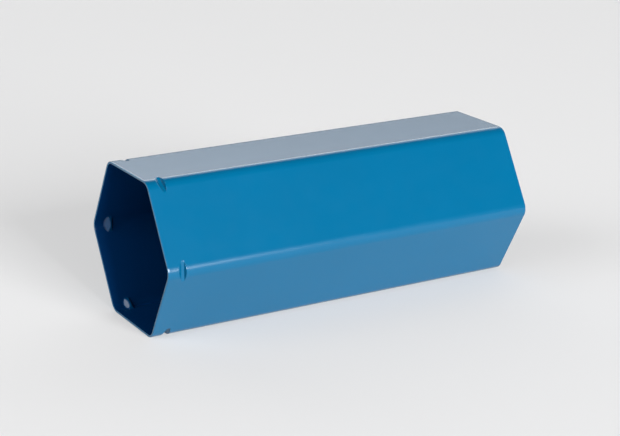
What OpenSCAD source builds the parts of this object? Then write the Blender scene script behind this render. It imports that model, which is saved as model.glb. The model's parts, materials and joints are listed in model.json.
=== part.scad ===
// Rock tumbler barrel. A hexagonal sheet-steel shell lies on one of its flats. Its mouth
// is open towards -X and has a pressed stop in each corner. The other end is shut by a
// rubber expansion plug: two plates squeeze a gasket when the wing nut is tightened.
// Millimetres. Origin: middle of the underside. +X from the mouth to the plug, +Z up.

/* [Shell] */
// Distance across the flats of the hexagon
across_flats = 150; // [146:1:165]
// Length of the shell from rim to rim
shell_length = 393; // [250:1:500]
// Thickness of the sheet
wall = 2; // [1.6:0.1:2.4]
// Outer radius of the folded corners
corner_radius = 13; // [11:0.5:16]

/* [Corner stops] */
// Distance of each stop's middle from the rim of the mouth
stop_setback = 14.4; // [12:0.4:40]
// Width of the pressed groove along the barrel, at the crest of the corner
groove_width = 7.8; // [6.6:0.1:8.4]
// Depth of the groove below the crest of the corner
groove_depth = 3.4; // [2.5:0.1:3.6]

/* [Plug] */
// Depth of the cover's face below the rim that it closes
plug_recess = 24; // [24:0.5:40]
// Clear space all round between the plug's plates and the shell
plate_gap = 1.5; // [1:0.1:2.5]
// Thickness of the relaxed rubber gasket
gasket_thickness = 14; // [12:0.5:18]
// Clear space all round between the relaxed gasket and the shell
gasket_gap = 0.4; // [0.3:0.05:0.6]
// Thickness of the inner plate that presses on the gasket
plate_thickness = 3; // [2:0.5:4]
// Thickness of the sheet that the cover is pressed from
cover_sheet = 2.5; // [2:0.1:3]
// Height of the cover's turned-up rim
cover_rim = 8; // [6:0.5:10]

/* [Clamp] */
// Diameter of the clamp bolt over its thread
bolt_diameter = 9.8; // [9:0.1:9.8]
// Distance that the wing nut and cover back off before the clip stops them
release_travel = 3; // [1:0.5:3]
// Height of the wing nut's hub
nut_height = 9; // [8:0.5:9]

/* [Bail handle] */
// Diameter of the bail's wire
wire_diameter = 6; // [5:0.5:6]
// Distance between the middles of the bail's legs
bail_width = 68; // [66:1:74]
// Height of the pivot above the barrel's axis
pivot_height = 22; // [20:1:26]
// Distance of the bail's crossbar below the barrel's axis when it is folded
bail_drop = 30; // [30:1:40]

/* [Hidden] */
$fn = 96;

// Hexagon
half_flats = across_flats / 2;
inner_half = half_flats - wall;
inner_radius = corner_radius - wall;
crest = (half_flats - corner_radius) / cos(30) + corner_radius;
corner_steps = 10;
overcut = 1;

// Corner stops: a flat-bottomed groove with sloping sides outside, backed by a bump inside
groove_floor = crest - groove_depth;
groove_run = 2;
bump_top = groove_floor - wall;
bump_margin = 0.9;
bump_radius = (bump_half_width * bump_half_width + groove_depth * groove_depth) / (2 * groove_depth);
stop_x = stop_setback - shell_length / 2;

// Plug plates
plate_half = inner_half - plate_gap;
plate_radius = inner_radius - plate_gap / 2;
plate_hole = bolt_diameter / 2 + 0.6;
rib_depth = 1.5;
rib_count = 3;
rib_width = gasket_thickness / (rib_count + (rib_count - 1) * 0.8);
rib_pitch = 1.8 * rib_width;
cover_rim_sheet = 2;

// Seat bars
seat_thickness = 4;
seat_height = 7;
seat_length = 50;

// Bolt and what is on it
head_radius = 15;
head_height = 4.5;
neck_side = 10;
neck_gap = 0.1;
seal_thickness = 2;
seal_radius = 13.5;
seal_hole = 7.4;
boss_radius = 20;
boss_thickness = 2;
washer_radius = 12;
washer_thickness = 2;
spring_radius = 8.5;
spring_thickness = 2.2;
spring_split = 1.6;
thread_gap = 0.1;
nut_base_radius = 9;
nut_top_radius = 7.5;
wing_radius = 6.5;
wing_reach = 14.5;
wing_lift = 8.5;
wing_thickness = 3.5;
clip_radius = 7.3;
clip_thickness = 1.2;
clip_seat_radius = bolt_diameter / 2 - 0.6;
clip_gap = 0.2;
tip_length = 1.6;
tip_chamfer = 1;

// Places along the barrel, from the closed end's rim inwards and then outwards again
rim_x = shell_length / 2;
cover_face_x = rim_x - plug_recess;
cover_x = cover_face_x - cover_sheet;
gasket_x = cover_x - gasket_thickness;
plate_x = gasket_x - plate_thickness;
seat_x = plate_x - seat_thickness;
head_x = plate_x - seal_thickness;
washer_x = cover_face_x + boss_thickness;
spring_x = washer_x + washer_thickness;
nut_x = spring_x + spring_thickness;
clip_x = nut_x + nut_height + release_travel + clip_gap;
tip_x = clip_x + clip_thickness + tip_length;

// Bail and its brackets
wire_radius = wire_diameter / 2;
pivot_x = cover_face_x + 9;
pivot_bend = 7;
corner_bend = 10;
wire_end_y = 20.5;
ear_y = 24;
ear_thickness = 2.5;
ear_radius = 6;
pivot_gap = 0.3;
bracket_sheet = 2;
bracket_reach = 44;
bracket_half_height = 12;
rivet_y = 38;
rivet_offset = 7;
rivet_radius = 1.9;
rivet_gap = 0.1;
rivet_head_radius = 3.6;
rivet_head_height = 1.6;
grip_radius = 6;
grip_length = 40;
grip_gap = 0.1;
retainer_radius = 5.2;
retainer_thickness = 1.2;
retainer_y = 22.4;
retainer_gap = 0.05;

// Directions of the six flats, as angles in the barrel's cross-section
TOP = 90;
UPPER_REAR = 30;
LOWER_REAR = -30;
BOTTOM = -90;
LOWER_FRONT = -150;
UPPER_FRONT = 150;

// Puts children on the barrel's axis at x, with their own +Z along the barrel,
// their +X towards the rear (+Y) and their +Y up
module on_axis(x) {
    translate([x, 0, half_flats])
        rotate([90, 0, 90])
            children();
}

// Hexagonal prism along +Z with a flat at the top and an arc of fine steps at each corner
module hexagon(apothem, radius, height) {
    reach = (apothem - radius) / cos(30);
    linear_extrude(height)
        polygon([
            for (corner = [0:60:300])
                for (turn = [-30:60 / corner_steps:30])
                    reach * [cos(corner), sin(corner)]
                        + radius * [cos(corner + turn), sin(corner + turn)]
        ]);
}

// Flat ring along +Z
module ring(outer, inner, height) {
    difference() {
        cylinder(h = height, r = outer);
        translate([0, 0, -overcut])
            cylinder(h = height + 2 * overcut, r = inner);
    }
}

// Dome standing on its flat side, rising along +Z
module dome(radius, height) {
    sphere_radius = (radius * radius + height * height) / (2 * height);
    intersection() {
        translate([0, 0, height - sphere_radius])
            sphere(r = sphere_radius);
        cylinder(h = height, r = radius + overcut);
    }
}

// Straight bar across each of the six corners, with its flat face at face_at from the
// axis and its sides sloping outwards from there. It is half_width wide each way at the
// distance wide_at from the axis.
module corner_bars(face_at, wide_at, half_width) {
    bar_length = 3 * corner_radius;
    slope = groove_run / groove_depth;
    face_half = half_width - slope * (wide_at - face_at);
    bar_height = 2 * groove_depth;
    back_half = face_half + slope * bar_height;
    for (corner = [0:60:300])
        rotate(corner)
            translate([face_at, bar_length / 2, 0])
                rotate([90, 0, 0])
                    linear_extrude(bar_length)
                        polygon([
                            [0, -face_half],
                            [bar_height, -back_half],
                            [bar_height, back_half],
                            [0, face_half]
                        ]);
}

// Hexagonal shell, open at both ends, with the corner stops near the mouth
module barrel_shell() {
    color("steelblue")
        difference() {
            on_axis(-shell_length / 2)
                hexagon(half_flats, corner_radius, shell_length);
            difference() {
                on_axis(-shell_length / 2 - overcut)
                    hexagon(inner_half, inner_radius, shell_length + 2 * overcut);
                on_axis(stop_x)
                    corner_bars(bump_top, crest - wall, groove_width / 2 + bump_margin);
            }
            on_axis(stop_x)
                corner_bars(groove_floor, crest, groove_width / 2);
        }
}

// Flat bar welded across the inside of one flat, which the plug seats against
module seat_bar(flat) {
    color("steelblue")
        on_axis(seat_x)
            rotate(flat)
                translate([inner_half - seat_height, -seat_length / 2, 0])
                    cube([seat_height, seat_length, seat_thickness]);
}

// Inner plate of the plug, with a square hole that keeps the bolt from turning
module pressure_plate() {
    hole_side = neck_side + 2 * neck_gap;
    color("silver")
        on_axis(plate_x)
            difference() {
                hexagon(plate_half, plate_radius, plate_thickness);
                translate([-hole_side / 2, -hole_side / 2, -overcut])
                    cube([hole_side, hole_side, plate_thickness + 2 * overcut]);
            }
}

// Rubber gasket with three sealing ribs round its edge
module gasket() {
    rib_half = inner_half - gasket_gap;
    rib_corner = inner_radius - gasket_gap;
    color("dimgray")
        on_axis(gasket_x)
            difference() {
                union() {
                    hexagon(rib_half - rib_depth, rib_corner - rib_depth / 2, gasket_thickness);
                    for (rib = [0:rib_count - 1])
                        translate([0, 0, rib * rib_pitch])
                            hexagon(rib_half, rib_corner, rib_width);
                }
                translate([0, 0, -overcut])
                    cylinder(h = gasket_thickness + 2 * overcut, r = plate_hole);
            }
}

// Bolt with a domed head inside the barrel, a square neck and a groove for the clip
module clamp_bolt() {
    bolt_radius = bolt_diameter / 2;
    neck_length = seal_thickness + plate_thickness;
    shank_length = tip_x - head_x - tip_chamfer;
    color("silver")
        difference() {
            union() {
                on_axis(head_x)
                    mirror([0, 0, 1])
                        dome(head_radius, head_height);
                on_axis(head_x)
                    translate([-neck_side / 2, -neck_side / 2, 0])
                        cube([neck_side, neck_side, neck_length]);
                on_axis(head_x)
                    cylinder(h = shank_length, r = bolt_radius);
                on_axis(tip_x - tip_chamfer)
                    cylinder(h = tip_chamfer, r1 = bolt_radius, r2 = bolt_radius - tip_chamfer);
            }
            on_axis(clip_x)
                ring(bolt_radius + overcut, clip_seat_radius, clip_thickness);
        }
}

// Rubber ring that seals the bolt's head against the pressure plate
module bolt_seal() {
    color("dimgray")
        on_axis(head_x)
            ring(seal_radius, seal_hole, seal_thickness);
}

// Open clip in the bolt's groove, which keeps the wing nut on
module retaining_clip() {
    mouth_width = 2 * clip_seat_radius - 1;
    color("silver")
        on_axis(clip_x)
            difference() {
                ring(clip_radius, clip_seat_radius, clip_thickness);
                translate([-mouth_width / 2, -2 * clip_radius, -overcut])
                    cube([mouth_width, 2 * clip_radius, clip_thickness + 2 * overcut]);
            }
}

// Pressed hexagonal cover with a turned-up rim
module cover_pan() {
    color("steelblue")
        difference() {
            on_axis(cover_x)
                hexagon(plate_half, plate_radius, cover_rim);
            on_axis(cover_face_x)
                hexagon(plate_half - cover_rim_sheet, plate_radius - cover_rim_sheet, cover_rim);
            on_axis(cover_x - overcut)
                cylinder(h = cover_sheet + 2 * overcut, r = plate_hole);
            rivet_places(cover_x - overcut)
                cylinder(h = cover_sheet + 2 * overcut, r = rivet_radius + rivet_gap);
        }
}

// Disc welded on the cover's middle, which carries the nut's load
module cover_boss() {
    color("steelblue")
        on_axis(cover_face_x)
            ring(boss_radius, plate_hole, boss_thickness);
}

// Plain washer on the boss
module flat_washer() {
    color("silver")
        on_axis(washer_x)
            ring(washer_radius, plate_hole, washer_thickness);
}

// Split spring washer under the wing nut
module spring_washer() {
    color("silver")
        on_axis(spring_x)
            difference() {
                ring(spring_radius, plate_hole, spring_thickness);
                translate([0, -spring_split / 2, -overcut])
                    cube([2 * spring_radius, spring_split, spring_thickness + 2 * overcut]);
            }
}

// Wing nut: a tapered hub with two round wings on webs
module wing_nut() {
    web_height = nut_height - 2;
    color("silver")
        on_axis(nut_x)
            difference() {
                union() {
                    cylinder(h = nut_height, r1 = nut_base_radius, r2 = nut_top_radius);
                    for (side = [0, 180])
                        rotate(side) {
                            translate([0, -wing_thickness / 2, 1])
                                cube([wing_reach, wing_thickness, web_height]);
                            translate([wing_reach, 0, wing_lift])
                                rotate([90, 0, 0])
                                    cylinder(h = wing_thickness, r = wing_radius, center = true);
                        }
                }
                translate([0, 0, -overcut])
                    cylinder(h = nut_height + 2 * overcut, r = bolt_diameter / 2 + thread_gap);
            }
}

// Repeats children at the four rivets, with their own +Z along the barrel
module rivet_places(x) {
    for (side = [-1, 1])
        for (row = [-1, 1])
            on_axis(x)
                translate([side * rivet_y, pivot_height + row * rivet_offset, 0])
                    children();
}

// Folded bracket: a foot on the cover and an ear with the pivot hole.
// side is 1 for the rear bracket and -1 for the front one.
module bracket(side) {
    ear_height = pivot_x - cover_face_x;
    color("silver")
        difference() {
            on_axis(cover_face_x)
                on_side(side) {
                    translate([ear_y, pivot_height - bracket_half_height, 0])
                        cube([bracket_reach - ear_y, 2 * bracket_half_height, bracket_sheet]);
                    translate([ear_y, pivot_height - ear_radius, 0])
                        cube([ear_thickness, 2 * ear_radius, ear_height]);
                    translate([ear_y, pivot_height, ear_height])
                        rotate([0, 90, 0])
                            cylinder(h = ear_thickness, r = ear_radius);
                }
            on_axis(pivot_x)
                on_side(side)
                    translate([ear_y - overcut, pivot_height, 0])
                        rotate([0, 90, 0])
                            cylinder(h = ear_thickness + 2 * overcut, r = wire_radius + pivot_gap);
            rivet_places(cover_face_x - overcut)
                cylinder(h = bracket_sheet + 2 * overcut, r = rivet_radius + rivet_gap);
        }
}

// Puts children on the rear side, or mirrors them to the front for side = -1
module on_side(side) {
    mirror([side < 0 ? 1 : 0, 0, 0])
        children();
}

// Four domed rivets, flush on the gasket's side
module bracket_rivets() {
    shank = cover_sheet + bracket_sheet;
    color("silver")
        rivet_places(cover_x) {
            cylinder(h = shank, r = rivet_radius);
            translate([0, 0, shank])
                dome(rivet_head_radius, rivet_head_height);
        }
}

// Quarter ring of wire in the bail's plane, starting along +X and turning to +Y
module wire_bend(radius) {
    rotate_extrude(angle = 90)
        translate([radius, 0])
            circle(r = wire_radius);
}

// Half of the bail on the side of +X: pivot end, bend, leg, bend and half the crossbar
module bail_half() {
    leg_x = bail_width / 2;
    leg_top = pivot_height - pivot_bend;
    leg_bottom = corner_bend - bail_drop;
    translate([wire_end_y, pivot_height, 0])
        rotate([0, 90, 0])
            cylinder(h = leg_x - pivot_bend - wire_end_y, r = wire_radius);
    translate([leg_x - pivot_bend, leg_top, 0])
        wire_bend(pivot_bend);
    translate([leg_x, leg_bottom, 0])
        rotate([-90, 0, 0])
            cylinder(h = leg_top - leg_bottom, r = wire_radius);
    translate([leg_x - corner_bend, leg_bottom, 0])
        rotate(-90)
            wire_bend(corner_bend);
    translate([0, -bail_drop, 0])
        rotate([0, 90, 0])
            cylinder(h = leg_x - corner_bend, r = wire_radius);
}

// Wire bail, folded flat against the cover
module bail_wire() {
    color("silver")
        on_axis(pivot_x) {
            bail_half();
            mirror([1, 0, 0])
                bail_half();
        }
}

// Sleeve on the bail's crossbar
module bail_grip() {
    color("dimgray")
        on_axis(pivot_x)
            translate([-grip_length / 2, -bail_drop, 0])
                rotate([0, 90, 0])
                    ring(grip_radius, wire_radius + grip_gap, grip_length);
}

// Push-on rings that keep the bail's ends in the ears
module bail_retainers() {
    color("silver")
        for (side = [-1, 1])
            on_axis(pivot_x)
                on_side(side)
                    translate([retainer_y, pivot_height, 0])
                        rotate([0, 90, 0])
                            ring(retainer_radius, wire_radius + retainer_gap, retainer_thickness);
}

barrel_shell();
seat_bar(TOP);  // seat_bar_top
seat_bar(UPPER_REAR);  // seat_bar_upper_rear
seat_bar(LOWER_REAR);  // seat_bar_lower_rear
seat_bar(BOTTOM);  // seat_bar_bottom
seat_bar(LOWER_FRONT);  // seat_bar_lower_front
seat_bar(UPPER_FRONT);  // seat_bar_upper_front
pressure_plate();
gasket();
clamp_bolt();
bolt_seal();
retaining_clip();
cover_pan();
cover_boss();
flat_washer();
spring_washer();
bracket(1);  // bracket_rear
bracket(-1);  // bracket_front
bracket_rivets();
wing_nut();
bail_wire();
bail_grip();
bail_retainers();
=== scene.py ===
"""Rock tumbler barrel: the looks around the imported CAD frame.
Metres, +X from the open mouth to the plug, +Z up."""
import json
import math
from collections import namedtuple

import bmesh
import bpy
import numpy as np
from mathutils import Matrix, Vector


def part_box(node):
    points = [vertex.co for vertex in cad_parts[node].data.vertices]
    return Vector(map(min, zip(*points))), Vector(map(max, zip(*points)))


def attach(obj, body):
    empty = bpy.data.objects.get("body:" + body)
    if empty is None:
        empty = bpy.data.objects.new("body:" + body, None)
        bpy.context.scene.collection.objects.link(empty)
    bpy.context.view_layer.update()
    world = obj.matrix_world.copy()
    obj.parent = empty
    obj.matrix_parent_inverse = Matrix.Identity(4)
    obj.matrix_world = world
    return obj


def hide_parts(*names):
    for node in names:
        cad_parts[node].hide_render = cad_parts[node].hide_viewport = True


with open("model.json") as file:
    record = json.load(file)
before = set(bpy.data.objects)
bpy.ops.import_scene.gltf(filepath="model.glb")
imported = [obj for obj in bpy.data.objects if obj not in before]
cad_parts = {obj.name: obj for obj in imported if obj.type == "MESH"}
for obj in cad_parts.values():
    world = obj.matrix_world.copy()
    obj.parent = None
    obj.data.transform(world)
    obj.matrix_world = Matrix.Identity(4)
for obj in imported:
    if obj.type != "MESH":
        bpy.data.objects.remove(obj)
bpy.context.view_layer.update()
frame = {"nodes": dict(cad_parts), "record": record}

MM = 0.001

# ---------------------------------------------------------------- sizes read from the frame
shell_lo, shell_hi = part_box("barrel_shell")
MOUTH_X, RIM_X = shell_lo.x, shell_hi.x
HALF_FLATS = (shell_hi.z - shell_lo.z) / 2
AXIS_Z = (shell_hi.z + shell_lo.z) / 2
CREST = shell_hi.y
WALL = shell_hi.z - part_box("seat_bar_top")[1].z
CORNER_RADIUS = (HALF_FLATS / math.cos(math.pi / 6) - CREST) / (1 / math.cos(math.pi / 6) - 1)

AXIS_HOLE = 5.5 * MM    # radius of the holes that the clamp bolt passes through
PLATE_GAP = 1.5 * MM    # between the plug's two hexagonal plates and the shell
WIRE_RADIUS = 3 * MM    # of the bail
PIVOT_V_MM = 22         # the bail's pivot, above the barrel's axis
BAR_V_MM = -30          # the folded bail's crossbar, above the barrel's axis

# Corner stops. Start, floor and end are distances from the mouth's rim, depth is measured
# down from the corner's crest, crown is how much less deep a stop is at CROWN_REACH to
# each side, and blend is how far the edges between slopes and floor are eased.
Stop = namedtuple("Stop", "start floor_start floor_end end depth crown blend")
GROOVE = Stop(10.5 * MM, 14.0 * MM, 17.1 * MM, 17.9 * MM, 3.4 * MM, 0.0, 0.4 * MM)
BUMP = Stop(10.1 * MM, 14.6 * MM, 16.2 * MM, 19.2 * MM, 4.6 * MM, 2.2 * MM, 1.1 * MM)
CROWN_REACH = 8 * MM


# ---------------------------------------------------------------- small helpers
def at(x, y, v):
    """Place at y across and v above the barrel's axis."""
    return (x, y, v + AXIS_Z)


def tube(rows, closed=False):
    """Skin over rows of places that all have one count. Open ends get flat caps."""
    count = len(rows[0])
    verts = [tuple(place) for row in rows for place in row]
    faces = []
    for r in range(len(rows) if closed else len(rows) - 1):
        q = (r + 1) % len(rows)
        for k in range(count):
            m = (k + 1) % count
            faces.append((r * count + k, r * count + m, q * count + m, q * count + k))
    if not closed:
        faces.append(tuple(reversed(range(count))))
        faces.append(tuple(range((len(rows) - 1) * count, len(rows) * count)))
    return verts, faces


def piece(name, parts, body, node, slot, sharp=35.0):
    """Makes one mesh piece of closed parts. It rides on body and stands for a CAD node."""
    verts, faces = [], []
    for part_verts, part_faces in parts:
        base = len(verts)
        verts += part_verts
        faces += [tuple(k + base for k in face) for face in part_faces]
    mesh = bpy.data.meshes.new(name)
    mesh.from_pydata(verts, [], faces)
    bm = bmesh.new()
    bm.from_mesh(mesh)
    bmesh.ops.recalc_face_normals(bm, faces=bm.faces)
    bm.to_mesh(mesh)
    bm.free()
    mesh.polygons.foreach_set("use_smooth", [True] * len(mesh.polygons))
    mesh.set_sharp_from_angle(angle=math.radians(sharp))
    mesh.materials.append(FINISHES[slot])
    obj = bpy.data.objects.new(name, mesh)
    bpy.context.scene.collection.objects.link(obj)
    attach(obj, body)
    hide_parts(node)
    return obj


def quarter(steps=4):
    """Angles of a quarter turn, from 0 to 90 degrees."""
    return [math.radians(90 * k / steps) for k in range(steps + 1)]


# ---------------------------------------------------------------- materials
def material_tree(name):
    """New material, with its node tree and its shader."""
    material = bpy.data.materials.new(name)
    material.use_nodes = True
    return material, material.node_tree, material.node_tree.nodes["Principled BSDF"]


def noise(tree, scale, detail, stretch=(1, 1, 1)):
    """Noise fixed to the object. A small stretch on an axis draws the grain out along it."""
    coordinates = tree.nodes.new("ShaderNodeTexCoord")
    mapping = tree.nodes.new("ShaderNodeMapping")
    mapping.inputs["Scale"].default_value = stretch
    texture = tree.nodes.new("ShaderNodeTexNoise")
    texture.inputs["Scale"].default_value = scale
    texture.inputs["Detail"].default_value = detail
    tree.links.new(coordinates.outputs["Object"], mapping.inputs["Vector"])
    tree.links.new(mapping.outputs["Vector"], texture.inputs["Vector"])
    return texture.outputs["Fac"]


def ramp(tree, source, stops):
    """Colour from a value, blended between (value, colour) stops."""
    node = tree.nodes.new("ShaderNodeValToRGB")
    while len(node.color_ramp.elements) < len(stops):
        node.color_ramp.elements.new(0.5)
    for element, (place, colour) in zip(node.color_ramp.elements, stops):
        element.position = place
        element.color = (*colour, 1.0)
    tree.links.new(source, node.inputs["Fac"])
    return node.outputs["Color"]


def spread(tree, source, low, high, from_low=0.3, from_high=0.7):
    """Value stretched from its usual range to the range from low to high."""
    node = tree.nodes.new("ShaderNodeMapRange")
    node.inputs["From Min"].default_value = from_low
    node.inputs["From Max"].default_value = from_high
    node.inputs["To Min"].default_value = low
    node.inputs["To Max"].default_value = high
    tree.links.new(source, node.inputs["Value"])
    return node.outputs["Result"]


def relief(tree, shader, layers):
    """Bumps from (height, strength, distance) layers, one on top of another."""
    normal = None
    for height, strength, distance in layers:
        bump = tree.nodes.new("ShaderNodeBump")
        bump.inputs["Strength"].default_value = strength
        bump.inputs["Distance"].default_value = distance
        tree.links.new(height, bump.inputs["Height"])
        if normal is not None:
            tree.links.new(normal, bump.inputs["Normal"])
        normal = bump.outputs["Normal"]
    tree.links.new(normal, shader.inputs["Normal"])


def paint(name, deep, light, stop_painted_light=None):
    """Sprayed paint: faint cloudy tone, fine orange peel and gloss that varies a little.
    Given a lighter stop colour, the corner stops take it: painted light for the light they catch through the
    mouth."""
    material, tree, shader = material_tree(name)
    colour = ramp(tree, noise(tree, 9.0, 3.0), [(0.30, deep), (0.70, light)])
    if stop_painted_light is not None:
        # Mask of the corner stops, mixing in the lighter colour: painted light on the stops.
        mask = tree.nodes.new("ShaderNodeAttribute")
        mask.attribute_name = "stops"
        mix = tree.nodes.new("ShaderNodeMix")
        mix.data_type = "RGBA"
        share, first, second = mix.inputs[0], mix.inputs[6], mix.inputs[7]
        second.default_value = (*stop_painted_light, 1.0)
        tree.links.new(mask.outputs["Fac"], share)
        tree.links.new(colour, first)
        colour = mix.outputs[2]
    tree.links.new(colour, shader.inputs["Base Color"])
    tree.links.new(spread(tree, noise(tree, 60.0, 5.0), 0.18, 0.21), shader.inputs["Roughness"])
    relief(tree, shader, [
        (noise(tree, 14.0, 2.0), 0.008, 0.0004),
        (noise(tree, 850.0, 2.0), 0.05, 0.00008),
    ])
    shader.inputs["IOR"].default_value = 1.46
    return material


def zinc():
    """Bright zinc plating: slightly yellow clouds, small dull spots, fine grain."""
    material, tree, shader = material_tree("zinc_finish")
    clouds = noise(tree, 70.0, 4.0)
    tree.links.new(ramp(tree, clouds, [
        (0.30, (0.56, 0.58, 0.60)), (0.55, (0.66, 0.66, 0.64)), (0.75, (0.72, 0.69, 0.60)),
    ]), shader.inputs["Base Color"])
    tree.links.new(spread(tree, noise(tree, 180.0, 6.0), 0.22, 0.40), shader.inputs["Roughness"])
    relief(tree, shader, [(clouds, 0.10, 0.0002), (noise(tree, 2200.0, 2.0), 0.12, 0.00004)])
    shader.inputs["Metallic"].default_value = 1.0
    return material


def steel():
    """Plain stainless steel with a fine brushed grain along the barrel's width."""
    material, tree, shader = material_tree("steel_finish")
    grain = noise(tree, 700.0, 4.0, stretch=(1, 0.03, 1))
    tree.links.new(ramp(tree, grain, [
        (0.30, (0.42, 0.42, 0.43)), (0.70, (0.58, 0.58, 0.57)),
    ]), shader.inputs["Base Color"])
    tree.links.new(spread(tree, noise(tree, 90.0, 5.0), 0.24, 0.38), shader.inputs["Roughness"])
    relief(tree, shader, [(grain, 0.18, 0.00004)])
    shader.inputs["Metallic"].default_value = 1.0
    return material


def rubber():
    """Moulded black rubber: matt, with a faint grey bloom."""
    material, tree, shader = material_tree("rubber_finish")
    bloom = noise(tree, 45.0, 5.0)
    tree.links.new(ramp(tree, bloom, [
        (0.35, (0.014, 0.014, 0.015)), (0.60, (0.022, 0.022, 0.022)), (0.80, (0.050, 0.049, 0.047)),
    ]), shader.inputs["Base Color"])
    tree.links.new(spread(tree, bloom, 0.52, 0.78), shader.inputs["Roughness"])
    relief(tree, shader, [(noise(tree, 1100.0, 3.0), 0.25, 0.00008)])
    return material


def grip_plastic():
    """Dark plastic sleeve: satin, with a leathery grain."""
    material, tree, shader = material_tree("grip_finish")
    tree.links.new(ramp(tree, noise(tree, 120.0, 4.0), [
        (0.30, (0.020, 0.020, 0.022)), (0.70, (0.036, 0.036, 0.038)),
    ]), shader.inputs["Base Color"])
    tree.links.new(spread(tree, noise(tree, 200.0, 4.0), 0.40, 0.56), shader.inputs["Roughness"])
    relief(tree, shader, [(noise(tree, 1500.0, 2.0), 0.35, 0.0001)])
    return material


PAINT_DEEP = (0.0, 0.080, 0.171)
PAINT_LIGHT = (0.0, 0.084, 0.180)
FINISHES = {
    "blue_paint": paint("paint_outside", PAINT_DEEP, PAINT_LIGHT),
    "zinc_plate": zinc(),
    "plain_steel": steel(),
    "black_rubber": rubber(),
    "grip_plastic": grip_plastic(),
}
# Darker copy of the blue paint for the inside of the shell and the seat bars: painted shade for the dimness
# inside the barrel, not a different paint.
SHADED_INSIDE_DEEP = (0.0, 0.0225, 0.092)
SHADED_INSIDE_LIGHT = (0.0, 0.0245, 0.098)
# Lighter tone for the inside of the corner stops: painted light for the light they catch through the mouth.
STOP_PAINTED_LIGHT = (0.0, 0.045, 0.135)    # a guess, chosen to match the lighter stops in the photo
SHADED_INSIDE_PAINT = paint("paint_inside_painted_shade", SHADED_INSIDE_DEEP, SHADED_INSIDE_LIGHT, STOP_PAINTED_LIGHT)


# ---------------------------------------------------------------- shell
def shell_profile():
    """Stations round the outer skin as (places, outward normals) in the cross-section (y, v),
    fine on the corner arcs and where the stops end on the flats."""
    reach = (HALF_FLATS - CORNER_RADIUS) / math.cos(math.pi / 6)
    arc_steps = 20
    plain_from = 12 * MM
    near_corner = [k * MM for k in (0.6, 1.2, 1.8, 2.4, 3.0, 3.6, 4.4, 5.5, 7, 9)]
    flat_places = sorted(
        [d - reach / 2 for d in near_corner]
        + [reach / 2 - d for d in near_corner]
        + list(np.linspace(plain_from - reach / 2, reach / 2 - plain_from, 7))
    )
    places, normals = [], []
    for k in range(6):
        corner = math.radians(60 * k)
        centre = np.array([math.cos(corner), math.sin(corner)]) * reach
        for step in range(arc_steps + 1):
            turn = corner + math.radians(-30 + 60 * step / arc_steps)
            normal = np.array([math.cos(turn), math.sin(turn)])
            places.append(centre + CORNER_RADIUS * normal)
            normals.append(normal)
        flat = corner + math.radians(30)
        normal = np.array([math.cos(flat), math.sin(flat)])
        along = np.array([-math.sin(flat), math.cos(flat)])
        for d in flat_places:
            places.append(normal * HALF_FLATS + along * d)
            normals.append(normal)
    return np.array(places), np.array(normals)


def shell_stations():
    """Distances from the mouth's rim: fine over the corner stops, coarse along the rest."""
    length = RIM_X - MOUTH_X
    rim_margin, fine_step, coarse_count = 2 * MM, 0.25 * MM, 46
    stations = list(np.linspace(rim_margin, BUMP.start - 1.5 * MM, 5))
    stations += list(np.arange(BUMP.start - 0.8 * MM, BUMP.end + 1.0 * MM, fine_step))
    stations += list(np.linspace(BUMP.end + 4 * MM, length - 4 * MM, coarse_count))
    stations.append(length - rim_margin)
    return stations


def soft_min(a, b, blend):
    """Smaller of a and b, rounded over about blend where they meet."""
    h = np.clip(0.5 + 0.5 * (b - a) / blend, 0, 1)
    return b * (1 - h) + a * h - blend * h * (1 - h)


def press_corners(places, crest, stop, x):
    """Skin at distance x from the rim, with its corners pressed down to a flat, and how far
    each place was pressed."""
    start, floor_start, floor_end, end, depth, crown, blend = stop
    rise = depth * (x - start) / (floor_start - start)
    fall = depth * (end - x) / (end - floor_end)
    slope = soft_min(rise, fall, blend)
    if slope < -2 * blend:
        return places, np.zeros(len(places))
    angles = np.arctan2(places[:, 1], places[:, 0])
    nearest = np.round(angles / math.radians(60)) * math.radians(60)
    direction = np.stack([np.cos(nearest), np.sin(nearest)], 1)
    along = (places * direction).sum(1)
    across = places[:, 0] * direction[:, 1] - places[:, 1] * direction[:, 0]
    pressed = soft_min(np.full_like(along, slope), depth - crown * (across / CROWN_REACH) ** 2, blend)
    lowered = np.minimum(along, soft_min(along, crest - pressed, blend))
    return places - direction * (along - lowered)[:, None], along - lowered


def rim_rows(outer, inner, normals, x_end, outward):
    """Rows round a rim, from the outer skin to the inner one."""
    rows = []
    radius = 0.35 * MM
    turns = [(turn, outer, -1) for turn in quarter()]
    turns += [(turn, inner, 1) for turn in reversed(quarter())]
    for turn, skin, side in turns:
        x = x_end - outward * radius * (1 - math.sin(turn))
        rows.append((x, skin + side * normals * radius * (1 - math.cos(turn))))
    return rows


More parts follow.
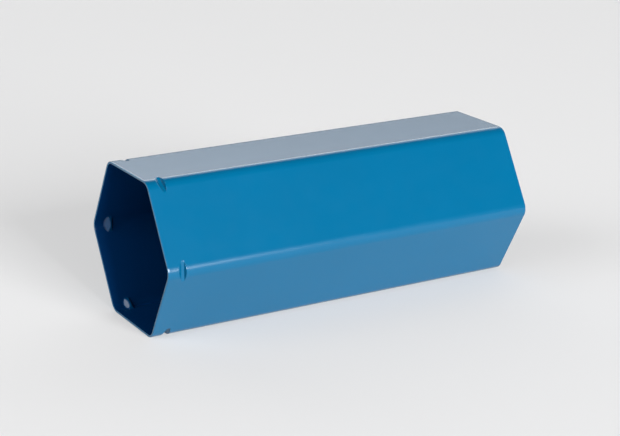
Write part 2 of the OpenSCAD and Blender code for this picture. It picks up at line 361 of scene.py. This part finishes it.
def barrel_shell():
    """Skin of the shell, from the plain end round the outside to the mouth and back inside."""
    outer, normals = shell_profile()
    inner = outer - normals * WALL
    around = len(outer)
    stations = shell_stations()
    rows = [(MOUTH_X + s, *press_corners(outer, CREST, GROOVE, s)) for s in stations]
    rows += [(x, places, np.zeros(around)) for x, places in rim_rows(outer, inner, normals, RIM_X, 1)]
    inside_from = len(rows)
    rows += [(MOUTH_X + s, *press_corners(inner, CREST - WALL, BUMP, s)) for s in reversed(stations)]
    inside_to = len(rows)
    mouth_rim = reversed(rim_rows(outer, inner, normals, MOUTH_X, -1))
    rows += [(x, places, np.zeros(around)) for x, places in mouth_rim]
    skin = tube([[at(x, y, v) for y, v in places] for x, places, _ in rows], closed=True)
    obj = piece("shell_skin", [skin], "barrel", "barrel_shell", "blue_paint")
    # The inside faces take the darker copy of the paint, which is painted shade.
    obj.data.materials.append(SHADED_INSIDE_PAINT)
    for face in obj.data.polygons:
        if inside_from - 1 <= face.index // around < inside_to:
            face.material_index = 1
    # Pressed depth, up to this much, fades in the lighter stop colour, which is painted light on the stops.
    painted_light_full_depth = 0.8 * MM
    stops = obj.data.attributes.new("stops", "FLOAT", "POINT")
    height = np.concatenate([pressed for _, _, pressed in rows])
    stops.data.foreach_set("value", np.clip(height / painted_light_full_depth, 0, 1))


# ---------------------------------------------------------------- rings and slabs
def hexagon_ring(x, apothem, radius, steps=8):
    """Rounded hexagon at x, as a ring of places."""
    reach = (apothem - radius) / math.cos(math.pi / 6)
    ring = []
    for k in range(6):
        corner = math.radians(60 * k)
        for step in range(steps + 1):
            turn = corner + math.radians(-30 + 60 * step / steps)
            ring.append(at(
                x,
                reach * math.cos(corner) + radius * math.cos(turn),
                reach * math.sin(corner) + radius * math.sin(turn),
            ))
    return ring


def round_ring(x, radius, like):
    """Circle at x whose places stand at the same angles as those of another ring."""
    turns = [math.atan2(v - AXIS_Z, y) for _, y, v in like]
    return [at(x, radius * math.cos(turn), radius * math.sin(turn)) for turn in turns]


def circle(x, radius, count=64):
    """Circle at x round the barrel's axis, as a ring of places."""
    turns = [math.tau * k / count for k in range(count)]
    return [at(x, radius * math.cos(turn), radius * math.sin(turn)) for turn in turns]


def ring_body(x_low, x_high, hole, outer, edge):
    """Flat ring with eased edges, as a closed skin."""
    profile = [
        (x_low, outer - edge), (x_low + edge, outer),
        (x_high - edge, outer), (x_high, outer - edge),
        (x_high, hole + edge / 2), (x_high - edge / 2, hole),
        (x_low + edge / 2, hole), (x_low, hole + edge / 2),
    ]
    return tube([circle(x, radius) for x, radius in profile], closed=True)


def rounded_outline(half_a, half_b, radius, steps=4):
    """Rounded rectangle as (a, b) places."""
    outline = []
    for sign_a, sign_b, start in ((1, 1, 0), (-1, 1, 90), (-1, -1, 180), (1, -1, 270)):
        for step in range(steps + 1):
            turn = math.radians(start + 90 * step / steps)
            outline.append((
                sign_a * (half_a - radius) + radius * math.cos(turn),
                sign_b * (half_b - radius) + radius * math.sin(turn),
            ))
    return outline


def slab(low, high, half_a, half_b, radius, edge, to_place):
    """Plate between low and high with a rounded outline and eased edges.
    to_place turns (depth, a, b) into a place."""
    rows = []
    for depth, inset in ((low, edge), (low + edge, 0), (high - edge, 0), (high, edge)):
        outline = rounded_outline(half_a - inset, half_b - inset, radius - inset)
        rows.append([to_place(depth, a, b) for a, b in outline])
    return tube(rows)


# ---------------------------------------------------------------- seat bars
def weld_bead(x, top, to_place):
    """Rippled bead along the edge where a bar meets its flat, narrower at its ends."""
    radius_mm, ripple_mm, ripple_phase = 1.75, 0.22, 100
    length_mm, steps, sides = 47, 80, 12
    end_slope, narrowest = 9, 0.15
    turns = [math.tau * step / sides for step in range(sides)]
    rows = []
    for k in range(steps + 1):
        share = k / steps
        ends = min(1.0, end_slope * share, end_slope * (1 - share)) ** 0.5
        radius = (radius_mm + ripple_mm * math.sin(share * ripple_phase)) * MM * max(ends, narrowest)
        along = (share - 0.5) * length_mm * MM
        rows.append([
            to_place(x + radius * math.cos(turn), along, top + radius * math.sin(turn))
            for turn in turns
        ])
    return tube(rows)


def seat_bar(node, flat_degrees):
    """Bar across the inside of one flat, with a rippled weld bead along its mouth side."""
    low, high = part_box(node)
    flat = math.radians(flat_degrees)
    normal = (math.cos(flat), math.sin(flat))
    tangent = (-normal[1], normal[0])
    top = HALF_FLATS - WALL
    half_length, half_height = 25 * MM, 3.5 * MM

    def to_place(x, along, radial):
        return at(
            x,
            normal[0] * radial + tangent[0] * along,
            normal[1] * radial + tangent[1] * along,
        )

    bar = slab(
        low.x, high.x, half_length, half_height, 0.7 * MM, 0.35 * MM,
        lambda x, a, b: to_place(x, a, top - half_height + b),
    )
    bead = weld_bead(low.x, top, to_place)
    obj = piece(node + "_look", [bar, bead], "barrel", node, "blue_paint")
    # The bar takes the darker inside copy of the paint, which is painted shade.
    obj.data.materials[0] = SHADED_INSIDE_PAINT


# ---------------------------------------------------------------- plug
def pressure_plate():
    """Hexagonal plate with eased edges and a square hole for the bolt's neck."""
    low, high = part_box("pressure_plate")
    apothem = HALF_FLATS - WALL - PLATE_GAP
    radius = CORNER_RADIUS - WALL - PLATE_GAP / 2
    edge = 0.4 * MM
    rows = [
        hexagon_ring(x, apothem - inset, radius - inset)
        for x, inset in ((low.x, edge), (low.x + edge, 0), (high.x - edge, 0), (high.x, edge))
    ]
    hole_half = 5.1 * MM
    for x in (high.x, low.x):
        ring = []
        for _, y, v in rows[0]:
            turn = math.atan2(v - AXIS_Z, y)
            reach = hole_half / max(abs(math.cos(turn)), abs(math.sin(turn)))
            ring.append(at(x, reach * math.cos(turn), reach * math.sin(turn)))
        rows.append(ring)
    piece("pressure_plate_look", [tube(rows, closed=True)], "plug", "pressure_plate", "plain_steel")


def gasket():
    """Thick rubber slab whose edge carries three rounded sealing ribs."""
    low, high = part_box("gasket")
    clearance = 0.4 * MM
    apothem = HALF_FLATS - WALL - clearance
    radius = CORNER_RADIUS - WALL - clearance
    ribs, gap_share, rib_depth, roundness, steps = 3, 0.8, 1.5 * MM, 3.2, 10
    rib_width = (high.x - low.x) / (ribs + (ribs - 1) * gap_share)
    rows = []
    for rib in range(ribs):
        start = low.x + rib * (1 + gap_share) * rib_width
        for k in range(steps + 1):
            across = -1 + 2 * k / steps
            inset = rib_depth * abs(across) ** roundness
            x = start + rib_width * (across + 1) / 2
            rows.append(hexagon_ring(x, apothem - inset, radius - inset / 2))
    rows.append(round_ring(high.x, AXIS_HOLE, rows[0]))
    rows.append(round_ring(low.x, AXIS_HOLE, rows[0]))
    piece("gasket_look", [tube(rows, closed=True)], "plug", "gasket", "black_rubber")


def domed_head(x_tip, x_foot, radius, shank, count):
    """Rings over the bolt's domed head, from its tip to the shank."""
    height = x_foot - x_tip
    sphere = (radius * radius + height * height) / (2 * height)
    tip_radius, rim_drop, steps = 0.02 * MM, 0.15 * MM, 9
    rows = []
    for k in range(steps + 1):
        reach = max(radius * k / steps, tip_radius)
        x = x_tip + sphere - math.sqrt(sphere * sphere - reach * reach)
        rows.append(circle(min(x, x_foot - rim_drop), reach, count))
    return rows + [circle(x_foot, radius - 0.2 * MM, count), circle(x_foot, shank, count)]


def cut_thread(start, end, pitch, shank, groove, count):
    """Rings along a thread cut into a shank, with a plain groove for the clip."""
    depth, groove_depth, root_width, steps_per_turn = 0.75 * MM, 0.6 * MM, 1.25, 8
    rows = []
    for k in range(int((end - start) / (pitch / steps_per_turn)) + 1):
        x = start + k * pitch / steps_per_turn
        if groove[0] < x < groove[1]:
            rows.append(circle(x, shank - groove_depth, count))
            continue
        ring = []
        for j in range(count):
            phase = (x / pitch - j / count) % 1.0
            radius = shank - depth * min(1.0, root_width * abs(2 * phase - 1))
            turn = math.tau * j / count
            ring.append(at(x, radius * math.cos(turn), radius * math.sin(turn)))
        rows.append(ring)
    return rows


def clamp_bolt():
    """Domed head, square neck, shank with a cut thread and the clip's groove."""
    low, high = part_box("clamp_bolt")
    clip_low, clip_high = (v.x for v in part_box("retaining_clip"))
    neck_low, neck_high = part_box("pressure_plate")[0].x - 2 * MM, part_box("pressure_plate")[1].x
    head, shank, pitch, count = 15 * MM, 4.9 * MM, 1.5 * MM, 48
    neck_half = 5 * MM
    groove = (clip_low - 0.1 * MM, clip_high + 0.1 * MM)
    thread_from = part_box("cover_boss")[0].x
    rows = domed_head(low.x, neck_low, head, shank, count)
    rows += cut_thread(thread_from, high.x - 1 * MM, pitch, shank, groove, count)
    rows.append(circle(high.x - 0.7 * MM, shank - 0.6 * MM, count))
    rows.append(circle(high.x, shank - 1.1 * MM, count))
    neck = slab(neck_low, neck_high, neck_half, neck_half, 0.6 * MM, 0.05 * MM, at)
    piece("clamp_bolt_look", [tube(rows), neck], "plug", "clamp_bolt", "zinc_plate", sharp=50)


def bolt_seal():
    """Rubber ring under the bolt's head."""
    low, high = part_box("bolt_seal")
    piece(
        "bolt_seal_look", [ring_body(low.x, high.x, 7.4 * MM, 13.5 * MM, 0.5 * MM)],
        "plug", "bolt_seal", "black_rubber",
    )


def cover_pan():
    """Pressed pan: rounded outer corner, turned-up rim with a rounded lip, fillet inside."""
    low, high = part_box("cover_pan")
    apothem = HALF_FLATS - WALL - PLATE_GAP
    radius = CORNER_RADIUS - WALL - PLATE_GAP / 2
    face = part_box("cover_boss")[0].x
    rim_sheet, corner, lip, fillet = 2 * MM, 2 * MM, 0.8 * MM, 2 * MM
    profile = [(low.x + corner * (1 - math.cos(t)), corner * (1 - math.sin(t))) for t in quarter(5)]
    profile += [(high.x - lip * (1 - math.sin(t)), lip * (1 - math.cos(t))) for t in quarter()]
    profile += [(high.x - lip * (1 - math.cos(t)), rim_sheet - lip * (1 - math.sin(t))) for t in quarter()]
    profile += [
        (face + fillet * (1 - math.sin(t)), rim_sheet + fillet * (1 - math.cos(t))) for t in quarter(5)
    ]
    rows = [hexagon_ring(x, apothem - inset, radius - inset) for x, inset in profile]
    rows.append(round_ring(face, AXIS_HOLE, rows[0]))
    rows.append(round_ring(low.x, AXIS_HOLE, rows[0]))
    piece("cover_pan_look", [tube(rows, closed=True)], "cover", "cover_pan", "blue_paint")


def cover_boss():
    """Disc with a smooth painted-over weld fillet round its foot."""
    low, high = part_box("cover_boss")
    outer = 20 * MM
    edge = 0.6 * MM
    profile = [
        (low.x, outer), (low.x + 0.5 * MM, outer - 0.35 * MM), (low.x + 0.9 * MM, outer - 0.9 * MM),
        (high.x - edge, outer - 1.0 * MM), (high.x - 0.2 * MM, outer - 1.2 * MM), (high.x, outer - 1.6 * MM),
        (high.x, AXIS_HOLE + 0.2 * MM), (high.x - 0.2 * MM, AXIS_HOLE), (low.x, AXIS_HOLE),
    ]
    parts = [tube([circle(x, radius, 80) for x, radius in profile], closed=True)]
    piece("cover_boss_look", parts, "cover", "cover_boss", "blue_paint", sharp=50)


def flat_washer():
    """Plain washer on the cover's boss."""
    low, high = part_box("flat_washer")
    piece(
        "flat_washer_look", [ring_body(low.x, high.x, AXIS_HOLE, 12 * MM, 0.35 * MM)],
        "cover", "flat_washer", "zinc_plate",
    )


def spring_washer():
    """One turn of square wire, cut through, with its ends a little apart."""
    low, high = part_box("spring_washer")
    middle, half_width, lead = 7 * MM, 1.5 * MM, 0.24 * MM
    half_thick = (high.x - low.x - lead) / 2
    cut_degrees, steps = 13, 72
    outline = rounded_outline(half_width, half_thick, 0.35 * MM, 3)
    rows = []
    for k in range(steps + 1):
        turn = math.radians(cut_degrees / 2 + (360 - cut_degrees) * k / steps)
        x = (low.x + high.x) / 2 + lead * (k / steps - 0.5)
        rows.append([
            at(x + b, (middle + a) * math.cos(turn), (middle + a) * math.sin(turn))
            for a, b in outline
        ])
    piece("spring_washer_look", [tube(rows)], "cover", "spring_washer", "plain_steel")


def nut_wing(base, side):
    """One wing: a root inside the hub, then a round outline whose foot sweeps up."""
    reach, wing, lift = 14.5 * MM, 6.5 * MM, 8.5 * MM
    foot_start, foot_sweep, root_top = 1.2 * MM, 0.8 * MM, 8.4 * MM
    sections = [(root, foot_start, root_top) for root in (6.2 * MM, 7.2 * MM)]
    steps = 30
    for k in range(1, steps):
        turn = math.pi * k / steps
        out = reach - wing * math.cos(turn)
        rise = wing * math.sin(turn)
        foot = lift - rise
        if out <= reach:
            foot = foot_start + foot_sweep * ((out - reach + wing) / wing) ** 2
        sections.append((out, foot, lift + rise))
    thickest, full_height, thinning, squareness, sides = 1.75 * MM, 2.2 * MM, 0.6, 2 / 3.2, 24
    rows = []
    for out, foot, crown in sections:
        half = (crown - foot) / 2
        thick = thickest * min(1.0, (half / full_height) ** thinning)
        ring = []
        for step in range(sides):
            turn = math.tau * step / sides
            up = math.copysign(abs(math.cos(turn)) ** squareness, math.cos(turn))
            across = math.copysign(abs(math.sin(turn)) ** squareness, math.sin(turn))
            ring.append(at(base + (foot + crown) / 2 + half * up, side * out, thick * across))
        rows.append(ring)
    return tube(rows)


def wing_nut():
    """Cast nut: tapered hub on a flange, with two rounded wings that narrow to their edges."""
    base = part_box("wing_nut")[0].x
    bore, bore_edge = 5.0 * MM, 0.5 * MM
    hub_mm = [
        (0, 8.5), (0.3, 8.9), (1.1, 8.9), (1.6, 8.2), (8.1, 7.3),
        (8.7, 7.0), (9, 6.4), (9, 5.5), (8.5, 5.0),
    ]
    rows = [circle(base + x * MM, radius * MM) for x, radius in hub_mm]
    rows += [circle(base + bore_edge, bore), circle(base, bore + bore_edge)]
    parts = [tube(rows, closed=True), nut_wing(base, -1), nut_wing(base, 1)]
    piece("wing_nut_look", parts, "nut", "wing_nut", "zinc_plate", sharp=50)


# ---------------------------------------------------------------- bail and brackets
def bracket_bend(side, bend_x, bend_y, pivot_v):
    """Quarter bend from the foot to the ear, which is a little thicker than the foot."""
    inner_mm, foot_mm, thicker_mm, steps = 1, 3.0, 0.5, 8
    inner, half_width = inner_mm * MM, 6 * MM
    rows = []
    for k in range(steps + 1):
        turn = math.radians(90 * k / steps)
        outer = (foot_mm + thicker_mm * k / steps) * MM
        section = (
            (inner, -half_width), (outer, -half_width), (outer, half_width), (inner, half_width)
        )
        rows.append([
            at(bend_x - radius * math.cos(turn), side * (bend_y - radius * math.sin(turn)), pivot_v + v)
            for radius, v in section
        ])
    return tube(rows)


def bracket_ear(side, bend_x, pivot_x, pivot_v):
    """Ear with eased edges and the pivot hole, straight-sided from the bend to the pivot
    and round beyond it."""
    ear_radius, hole, count = 6 * MM, 3.3 * MM, 72
    ear_low, ear_high, edge = 24 * MM, 26.5 * MM, 0.3 * MM
    turns = [math.tau * step / count for step in range(count)]
    rows = []
    for y, inset in ((ear_low, edge), (ear_low + edge, 0), (ear_high - edge, 0), (ear_high, edge)):
        ring = []
        for turn in turns:
            reach = ear_radius - inset
            if math.cos(turn) < 0:
                reach = min(
                    reach / max(abs(math.sin(turn)), 1e-6),
                    (pivot_x - bend_x) / abs(math.cos(turn)),
                )
            ring.append(at(
                pivot_x + reach * math.cos(turn), side * y, pivot_v + reach * math.sin(turn)
            ))
        rows.append(ring)
    for y in (ear_high, ear_low):
        rows.append([
            at(pivot_x + hole * math.cos(turn), side * y, pivot_v + hole * math.sin(turn))
            for turn in turns
        ])
    return tube(rows, closed=True)


def bracket(node, side):
    """Folded sheet: a foot with rounded corners, a bend and an ear with the pivot hole."""
    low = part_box(node)[0]
    pivot_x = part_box("bail_wire")[0].x + WIRE_RADIUS
    pivot_v = PIVOT_V_MM * MM
    bend_x, bend_y = low.x + 3 * MM, 27.5 * MM
    foot_top, foot_end, foot_half_width = low.x + 2 * MM, 44 * MM, 12 * MM
    foot_mid = (bend_y + foot_end) / 2
    foot = slab(
        low.x, foot_top, foot_end - foot_mid, foot_half_width, 2.5 * MM, 0.3 * MM,
        lambda x, a, b: at(x, side * (foot_mid + a), pivot_v + b),
    )
    bend = bracket_bend(side, bend_x, bend_y, pivot_v)
    ear = bracket_ear(side, bend_x, pivot_x, pivot_v)
    piece(node + "_look", [foot, bend, ear], "cover", node, "zinc_plate")


def wire_bend(centre_y, centre_v, radius, start_degrees, steps):
    """Stations round a quarter bend of the wire: y and v in mm, then the heading."""
    stations = []
    for k in range(steps + 1):
        turn = math.radians(start_degrees - 90 * k / steps)
        stations.append((
            centre_y + radius * math.cos(turn),
            centre_v + radius * math.sin(turn),
            math.sin(turn),
            -math.cos(turn),
        ))
    return stations


def wire_ring(x, station, radius, shift=0.0, sides=24):
    """Ring round the wire at one station, moved by shift along the wire's heading in y."""
    y, v, heading_y, heading_v = station
    ring = []
    for step in range(sides):
        turn = math.tau * step / sides
        ring.append(at(
            x + radius * math.sin(turn),
            y * MM + shift * heading_y - heading_v * radius * math.cos(turn),
            v * MM + heading_y * radius * math.cos(turn),
        ))
    return ring


def bail_wire():
    """Round wire swept along the folded bail, with eased ends."""
    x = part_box("bail_wire")[0].x + WIRE_RADIUS
    end_y, hook_y, leg_y, bar_y = 20.5, 24, 34, 12
    hook_bend, bar_bend = 7, 10
    half = [(end_y, PIVOT_V_MM, 1, 0), (hook_y, PIVOT_V_MM, 1, 0)]
    half += wire_bend(leg_y - hook_bend, PIVOT_V_MM - hook_bend, hook_bend, 90, 12)
    half += [(leg_y, -1, 0, -1), (leg_y, -10, 0, -1)]
    half += wire_bend(leg_y - bar_bend, BAR_V_MM + bar_bend, bar_bend, 0, 14)
    half.append((bar_y, BAR_V_MM, -1, 0))
    path = half + [(-y, v, dy, -dv) for y, v, dy, dv in reversed(half)]
    ease, end_radius = 0.6 * MM, 0.78 * WIRE_RADIUS
    rows = [wire_ring(x, path[0], end_radius), wire_ring(x, path[0], WIRE_RADIUS, ease)]
    rows += [wire_ring(x, station, WIRE_RADIUS) for station in path[1:-1]]
    rows += [wire_ring(x, path[-1], WIRE_RADIUS, -ease), wire_ring(x, path[-1], end_radius)]
    piece("bail_wire_look", [tube(rows)], "bail", "bail_wire", "zinc_plate")


def bail_grip():
    """Sleeve with rounded ends and shallow finger rings."""
    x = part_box("bail_wire")[0].x + WIRE_RADIUS
    drop = BAR_V_MM * MM
    half, outer, bore, easing, lip = 20 * MM, 6 * MM, 3.1 * MM, 1.4 * MM, 0.3 * MM
    plain_end, ring_spacing, ring_depth = 3 * MM, 34 * MM / 9, 0.38 * MM
    steps, sides = 100, 40
    end = [
        (half - easing * (1 - math.cos(t)), outer - easing * (1 - math.sin(t))) for t in quarter(5)
    ]
    profile = [(-y, radius) for y, radius in end]
    for k in range(steps + 1):
        y = -half + plain_end + (2 * half - 2 * plain_end) * k / steps
        wave = 0.5 - 0.5 * math.cos(math.tau * (y + half - plain_end) / ring_spacing)
        profile.append((y, outer - ring_depth * wave))
    profile += reversed(end)
    profile += [(half, bore + lip), (half - lip, bore), (-half + lip, bore), (-half, bore + lip)]
    turns = [math.tau * k / sides for k in range(sides)]
    rows = [
        [at(x + radius * math.cos(turn), y, drop + radius * math.sin(turn)) for turn in turns]
        for y, radius in profile
    ]
    piece("bail_grip_look", [tube(rows, closed=True)], "bail", "bail_grip", "grip_plastic")


for name, obj in frame["nodes"].items():
    slot = next(s["material_slot"] for s in frame["record"]["subparts"] if s["node"] == name)
    obj.data.materials.clear()
    obj.data.materials.append(FINISHES[slot])
barrel_shell()
for node, flat in (
    ("seat_bar_top", 90), ("seat_bar_upper_rear", 30), ("seat_bar_lower_rear", -30),
    ("seat_bar_bottom", -90), ("seat_bar_lower_front", -150), ("seat_bar_upper_front", 150),
):
    seat_bar(node, flat)
pressure_plate()
gasket()
clamp_bolt()
bolt_seal()
cover_pan()
cover_boss()
flat_washer()
spring_washer()
wing_nut()
bracket("bracket_rear", 1)
bracket("bracket_front", -1)
bail_wire()
bail_grip()


# ---------------------------------------------------------------- camera, floor and light
def make_camera():
    """The photograph's view: about 30 degrees off the side and 17.5 degrees above, on a 95 mm lens."""
    azimuth, elevation = math.radians(-30.01), math.radians(17.53)
    back = Vector((
        math.sin(azimuth) * math.cos(elevation),
        -math.cos(azimuth) * math.cos(elevation),
        math.sin(elevation),
    ))
    right = Vector((math.cos(azimuth), math.sin(azimuth), 0))
    up = back.cross(right)
    distance, aside, above = 20.300 * HALF_FLATS, 2.232 * HALF_FLATS, 0.382 * HALF_FLATS
    data = bpy.data.cameras.new("camera")
    data.lens = 95.4
    data.sensor_width = 36.0
    data.clip_end = 50.0
    camera = bpy.data.objects.new("camera", data)
    mouth = Vector((MOUTH_X, 0, AXIS_Z))
    camera.location = mouth + back * distance + right * aside + up * above
    camera.rotation_mode = "QUATERNION"
    camera.rotation_quaternion = (-back).to_track_quat("-Z", "Y")
    bpy.context.scene.collection.objects.link(camera)
    bpy.context.scene.camera = camera


# Panels: name, azimuth, elevation, width and height in degrees, then radiance. Their places
# were chosen one by one. The radiances began as a scratch solver's fit to the photo's tones,
# and some were changed by hand after it.
SOFTBOXES = (
    ("key_low", 275, 6.5, 20, 13, 36.0),
    ("key_high", 275, 19, 20, 12, 45.0),
    ("key_left", 260, 19, 10, 12, 8.4),
    ("key_right", 290, 7, 10, 14, 5.5),
    ("fill_camera", 232, 28, 40, 36, 1.5),
    ("fill_left", 180, 30, 50, 34, 3.9),
    ("back_low", 60, 14, 100, 10, 0.85),
    ("back_middle", 60, 24, 100, 10, 3.8),
    ("back_high", 55, 38, 100, 16, 1.7),
)
LIGHT_DISTANCE = 12.0
FLOOR_GLOW = 0.35


def make_floor():
    """Pale studio floor. A little light of its own keeps it even right up to the barrel."""
    half = 9.0
    mesh = bpy.data.meshes.new("floor")
    corners = [(-half, -half, 0), (half, -half, 0), (half, half, 0), (-half, half, 0)]
    mesh.from_pydata(corners, [], [(0, 1, 2, 3)])
    floor = bpy.data.objects.new("floor", mesh)
    bpy.context.scene.collection.objects.link(floor)
    material, _, shader = material_tree("floor")
    shader.inputs["Base Color"].default_value = (0.42, 0.42, 0.424, 1)
    shader.inputs["Roughness"].default_value = 1.0
    shader.inputs["Specular IOR Level"].default_value = 0.0
    shader.inputs["Emission Color"].default_value = (1.0, 1.0, 1.0, 1)
    shader.inputs["Emission Strength"].default_value = FLOOR_GLOW
    mesh.materials.append(material)


def softbox(name, azimuth, elevation, width, height, radiance):
    """Soft light a long way off, aimed at the barrel. Angles and sizes are in degrees as
    seen from the barrel; azimuth is counted from +X towards +Y."""
    turn, lift = math.radians(azimuth), math.radians(elevation)
    direction = Vector((math.cos(turn) * math.cos(lift), math.sin(turn) * math.cos(lift), math.sin(lift)))
    data = bpy.data.lights.new(name, "AREA")
    data.shape = "RECTANGLE"
    data.size = 2 * LIGHT_DISTANCE * math.tan(math.radians(width / 2))
    data.size_y = 2 * LIGHT_DISTANCE * math.tan(math.radians(height / 2))
    data.energy = math.pi * data.size * data.size_y * radiance
    light = bpy.data.objects.new(name, data)
    light.location = Vector((0, 0, AXIS_Z)) + direction * LIGHT_DISTANCE
    light.rotation_mode = "QUATERNION"
    light.rotation_quaternion = (-direction).to_track_quat("-Z", "Y")
    bpy.context.scene.collection.objects.link(light)


def make_light():
    """A low soft key in front with dimmer panels at its sides, broad dim panels low behind,
    and weak fill from the left and from beside the camera. Nothing hangs overhead.
    Only the camera's own rays see the pale wall: it lights nothing."""
    world = bpy.data.worlds.new("studio")
    bpy.context.scene.world = world
    world.use_nodes = True
    tree = world.node_tree
    dark = tree.nodes["Background"]
    dark.inputs["Color"].default_value = (1.0, 1.0, 1.0, 1)
    dark.inputs["Strength"].default_value = 0.01
    wall = tree.nodes.new("ShaderNodeBackground")
    wall.inputs["Color"].default_value = (0.79, 0.79, 0.79, 1)
    choice = tree.nodes.new("ShaderNodeMixShader")
    tree.links.new(tree.nodes.new("ShaderNodeLightPath").outputs["Is Camera Ray"], choice.inputs["Fac"])
    tree.links.new(dark.outputs["Background"], choice.inputs[1])
    tree.links.new(wall.outputs["Background"], choice.inputs[2])
    tree.links.new(choice.outputs["Shader"], tree.nodes["World Output"].inputs["Surface"])
    for name, azimuth, elevation, width, height, radiance in SOFTBOXES:
        softbox(name, azimuth, elevation, width, height, radiance)
    bpy.context.scene.view_settings.view_transform = "Standard"


make_camera()
make_floor()
make_light()
